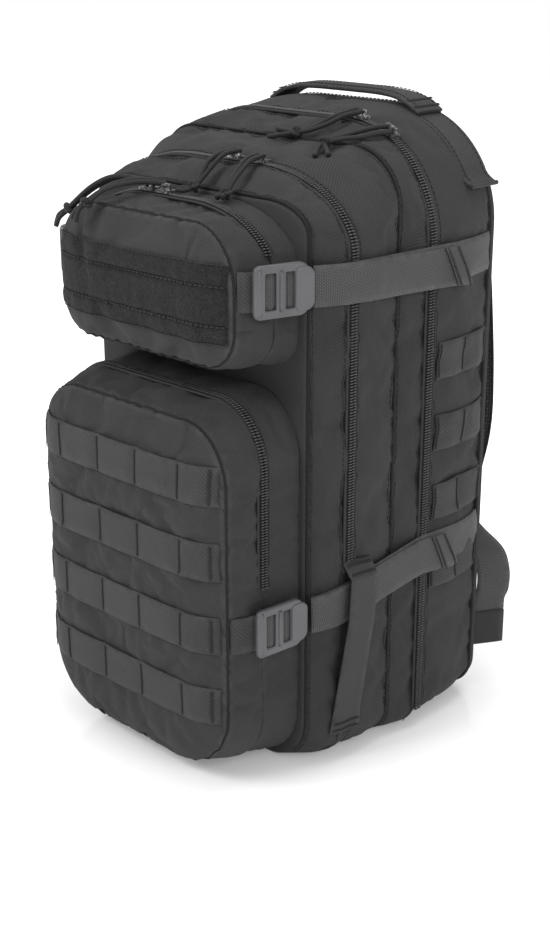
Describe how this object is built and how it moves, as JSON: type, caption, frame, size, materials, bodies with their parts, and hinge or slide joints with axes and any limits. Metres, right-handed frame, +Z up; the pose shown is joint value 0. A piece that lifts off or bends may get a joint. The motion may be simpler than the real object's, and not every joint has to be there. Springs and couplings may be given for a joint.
{
  "type": "trauma backpack",
  "caption": "Assault-style trauma backpack: clamshell main compartment, leaning middle compartment, two front pockets, zips, compression straps and shoulder harness.",
  "frame": {"origin": "centre of the footprint, on the surface that the bag stands on", "axes": "+X across the bag to the wearer's right seen from behind, +Y from the front pockets to the harness, +Z up"},
  "size_m": [0.2434, 0.2911, 0.4342],
  "materials": {
    "shell_fabric": "matte, plain oxford weave, near-black charcoal",
    "base_fabric": "matte coated fabric",
    "lining_fabric": "matte thin lining",
    "frame_plastic": "matte polyethylene sheet",
    "spacer_mesh": "open spacer mesh over foam",
    "zip_coil": "semi-gloss nylon coil on woven tape",
    "webbing": "ribbed nylon webbing",
    "loop_fabric": "brushed loop pile",
    "buckle_plastic": "satin moulded acetal",
    "slider_metal": "black-lacquered zinc with bright worn edges",
    "cord": "braided sheath"
  },
  "bodies": {
    "rear_section": {"base_panel": "base_fabric", "back_panel": "base_fabric", "frame_sheet": "frame_plastic", "back_pads": "spacer_mesh", "rear_gusset": "shell_fabric", "hydration_sleeve": "lining_fabric", "main_zip_rear": "zip_coil", "side_webbing": "webbing", "handle_yoke": "webbing", "left_shoulder_strap": "spacer_mesh", "right_shoulder_strap": "spacer_mesh", "strap_webbing": "webbing", "strap_wings": "shell_fabric", "strap_adjusters": "buckle_plastic", "upper_compression_straps": "webbing", "lower_compression_straps": "webbing"},
    "main_panel": {"main_gusset": "shell_fabric", "divider_wall": "lining_fabric", "divider_organizer": "lining_fabric", "mid_gusset_rear": "shell_fabric", "main_zip_front": "zip_coil", "mid_zip_rear": "zip_coil", "strap_keepers": "webbing"},
    "mid_panel": {"mid_gusset_front": "shell_fabric", "front_wall": "shell_fabric", "front_organizer": "lining_fabric", "mid_zip_front": "zip_coil", "upper_pocket_body": "shell_fabric", "lower_pocket_body": "shell_fabric", "pocket_zips_rear": "zip_coil", "loop_panel": "loop_fabric", "lower_front_webbing": "webbing", "buckle_stubs": "webbing"},
    "upper_flap": {"upper_pocket_flap": "shell_fabric", "upper_flap_zip": "zip_coil"},
    "lower_flap": {"lower_pocket_flap": "shell_fabric", "lower_flap_zip": "zip_coil", "flap_webbing": "webbing"},
    "carry_handle": {"carry_handle": "webbing"},
    "sternum_strap": {"sternum_strap": "buckle_plastic"},
    "upper_left_lock": {"upper_left_lock": "buckle_plastic"},
    "upper_right_lock": {"upper_right_lock": "buckle_plastic"},
    "lower_left_lock": {"lower_left_lock": "buckle_plastic"},
    "lower_right_lock": {"lower_right_lock": "buckle_plastic"},
    "main_slider_a": {"main_slider_a": "slider_metal"},
    "main_slider_b": {"main_slider_b": "slider_metal"},
    "mid_slider_a": {"mid_slider_a": "slider_metal"},
    "mid_slider_b": {"mid_slider_b": "slider_metal"},
    "upper_slider_a": {"upper_slider_a": "slider_metal"},
    "upper_slider_b": {"upper_slider_b": "slider_metal"},
    "lower_slider_a": {"lower_slider_a": "slider_metal"},
    "lower_slider_b": {"lower_slider_b": "slider_metal"},
    "main_pull_a": {"main_pull_a": "cord"},
    "main_pull_b": {"main_pull_b": "cord"},
    "mid_pull_a": {"mid_pull_a": "cord"},
    "mid_pull_b": {"mid_pull_b": "cord"},
    "upper_pull_a": {"upper_pull_a": "cord"},
    "upper_pull_b": {"upper_pull_b": "cord"},
    "lower_pull_a": {"lower_pull_a": "cord"},
    "lower_pull_b": {"lower_pull_b": "cord"}
  },
  "joints": [
    {"name": "main_panel_hinge", "type": "hinge", "parent": "rear_section", "child": "main_panel", "pos_m": [0, 0.0455, 0], "axis": [1, 0, 0], "range_deg": [0, 90], "deforming": ["upper_compression_straps", "lower_compression_straps"]},
    {"name": "mid_panel_hinge", "type": "hinge", "parent": "main_panel", "child": "mid_panel", "pos_m": [0, -0.0235, 0], "axis": [1, 0, 0], "range_deg": [0, 12], "deforming": ["upper_compression_straps", "lower_compression_straps"]},
    {"name": "upper_flap_hinge", "type": "hinge", "parent": "mid_panel", "child": "upper_flap", "pos_m": [0, -0.108, 0.35], "axis": [1, 0, 0], "range_deg": [0, 80]},
    {"name": "lower_flap_hinge", "type": "hinge", "parent": "mid_panel", "child": "lower_flap", "pos_m": [0, -0.127, 0.14], "axis": [1, 0, 0], "range_deg": [0, 95]},
    {"name": "upper_left_lock_tilt", "type": "hinge", "parent": "mid_panel", "child": "upper_left_lock", "pos_m": [-0.092, -0.0875, 0.332], "axis": [0, 0, 1], "range_deg": [0, 35], "deforming": ["upper_compression_straps"]},
    {"name": "lower_left_lock_tilt", "type": "hinge", "parent": "mid_panel", "child": "lower_left_lock", "pos_m": [-0.099, -0.0935, 0.114], "axis": [0, 0, 1], "range_deg": [0, 35], "deforming": ["lower_compression_straps"]},
    {"name": "upper_right_lock_tilt", "type": "hinge", "parent": "mid_panel", "child": "upper_right_lock", "pos_m": [0.092, -0.0875, 0.332], "axis": [0, 0, -1], "range_deg": [0, 35], "deforming": ["upper_compression_straps"]},
    {"name": "lower_right_lock_tilt", "type": "hinge", "parent": "mid_panel", "child": "lower_right_lock", "pos_m": [0.099, -0.0935, 0.114], "axis": [0, 0, -1], "range_deg": [0, 35], "deforming": ["lower_compression_straps"]},
    {"name": "main_slider_a_travel", "type": "hinge", "parent": "main_panel", "child": "main_slider_a", "pos_m": [0.0425, 0.0455, 0.345], "axis": [0, 1, 0], "range_deg": [-7, 8], "deforming": ["main_pull_a"]},
    {"name": "main_slider_b_travel", "type": "hinge", "parent": "main_panel", "child": "main_slider_b", "pos_m": [0.0425, 0.0455, 0.345], "axis": [0, 1, 0], "range_deg": [-8, 62], "deforming": ["main_pull_b"]},
    {"name": "mid_slider_a_travel", "type": "slide", "parent": "mid_panel", "child": "mid_slider_a", "axis": [1, 0, 0], "range_m": [-0.036, 0.008], "deforming": ["mid_pull_a"]},
    {"name": "mid_slider_b_travel", "type": "slide", "parent": "mid_panel", "child": "mid_slider_b", "axis": [1, 0, 0], "range_m": [-0.008, 0.025], "deforming": ["mid_pull_b"]},
    {"name": "upper_slider_a_travel", "type": "slide", "parent": "upper_flap", "child": "upper_slider_a", "axis": [1, 0, 0], "range_m": [-0.012, 0.004], "deforming": ["upper_pull_a"]},
    {"name": "upper_slider_b_travel", "type": "slide", "parent": "upper_flap", "child": "upper_slider_b", "axis": [1, 0, 0], "range_m": [-0.004, 0.03], "deforming": ["upper_pull_b"]},
    {"name": "lower_slider_a_travel", "type": "slide", "parent": "lower_flap", "child": "lower_slider_a", "axis": [0, 0, 1], "range_m": [-0.003, 0.01], "deforming": ["lower_pull_a"]},
    {"name": "lower_slider_b_travel", "type": "slide", "parent": "lower_flap", "child": "lower_slider_b", "axis": [0, 0, 1], "range_m": [-0.035, 0.003], "deforming": ["lower_pull_b"]},
    {"name": "main_pull_a_swing", "type": "hinge", "parent": "main_slider_a", "child": "main_pull_a", "pos_m": [0.052, 0.0455, 0.422], "axis": [-0.6941, 0.7198, 0], "range_deg": [0, 100], "deforming": ["main_pull_a"]},
    {"name": "main_pull_b_swing", "type": "hinge", "parent": "main_slider_b", "child": "main_pull_b", "pos_m": [0.0778, 0.0455, 0.4142], "axis": [-0.8849, 0.4657, 0], "range_deg": [0, 100], "deforming": ["main_pull_b"]},
    {"name": "mid_pull_a_swing", "type": "hinge", "parent": "mid_slider_a", "child": "mid_pull_a", "pos_m": [0.008, -0.0235, 0.3987], "axis": [-1, 0, 0], "range_deg": [0, 100], "deforming": ["mid_pull_a"]},
    {"name": "mid_pull_b_swing", "type": "hinge", "parent": "mid_slider_b", "child": "mid_pull_b", "pos_m": [0.03, -0.0235, 0.3987], "axis": [-0.994, -0.1093, 0], "range_deg": [0, 100], "deforming": ["mid_pull_b"]},
    {"name": "upper_pull_a_swing", "type": "hinge", "parent": "upper_slider_a", "child": "upper_pull_a", "pos_m": [-0.024, -0.0695, 0.3807], "axis": [-0.5, 0.866, 0], "range_deg": [0, 100], "deforming": ["upper_pull_a"]},
    {"name": "upper_pull_b_swing", "type": "hinge", "parent": "upper_slider_b", "child": "upper_pull_b", "pos_m": [-0.008, -0.0695, 0.3807], "axis": [-0.746, 0.666, 0], "range_deg": [0, 100], "deforming": ["upper_pull_b"]},
    {"name": "lower_pull_a_swing", "type": "hinge", "parent": "lower_slider_a", "child": "lower_pull_a", "pos_m": [-0.0957, -0.0825, 0.2], "axis": [0, 1, 0], "range_deg": [0, 100], "deforming": ["lower_pull_a"]},
    {"name": "lower_pull_b_swing", "type": "hinge", "parent": "lower_slider_b", "child": "lower_pull_b", "pos_m": [-0.0957, -0.0825, 0.182], "axis": [0, 1, 0], "range_deg": [0, 100], "deforming": ["lower_pull_b"]},
    {"name": "carry_handle_swing", "type": "hinge", "parent": "rear_section", "child": "carry_handle", "pos_m": [0, 0.0965, 0.418], "axis": [1, 0, 0], "range_deg": [-25, 25], "deforming": ["carry_handle"]},
    {"name": "sternum_strap_travel", "type": "slide", "parent": "rear_section", "child": "sternum_strap", "axis": [0, 0, 1], "range_m": [-0.02, 0.02]}
  ]
}
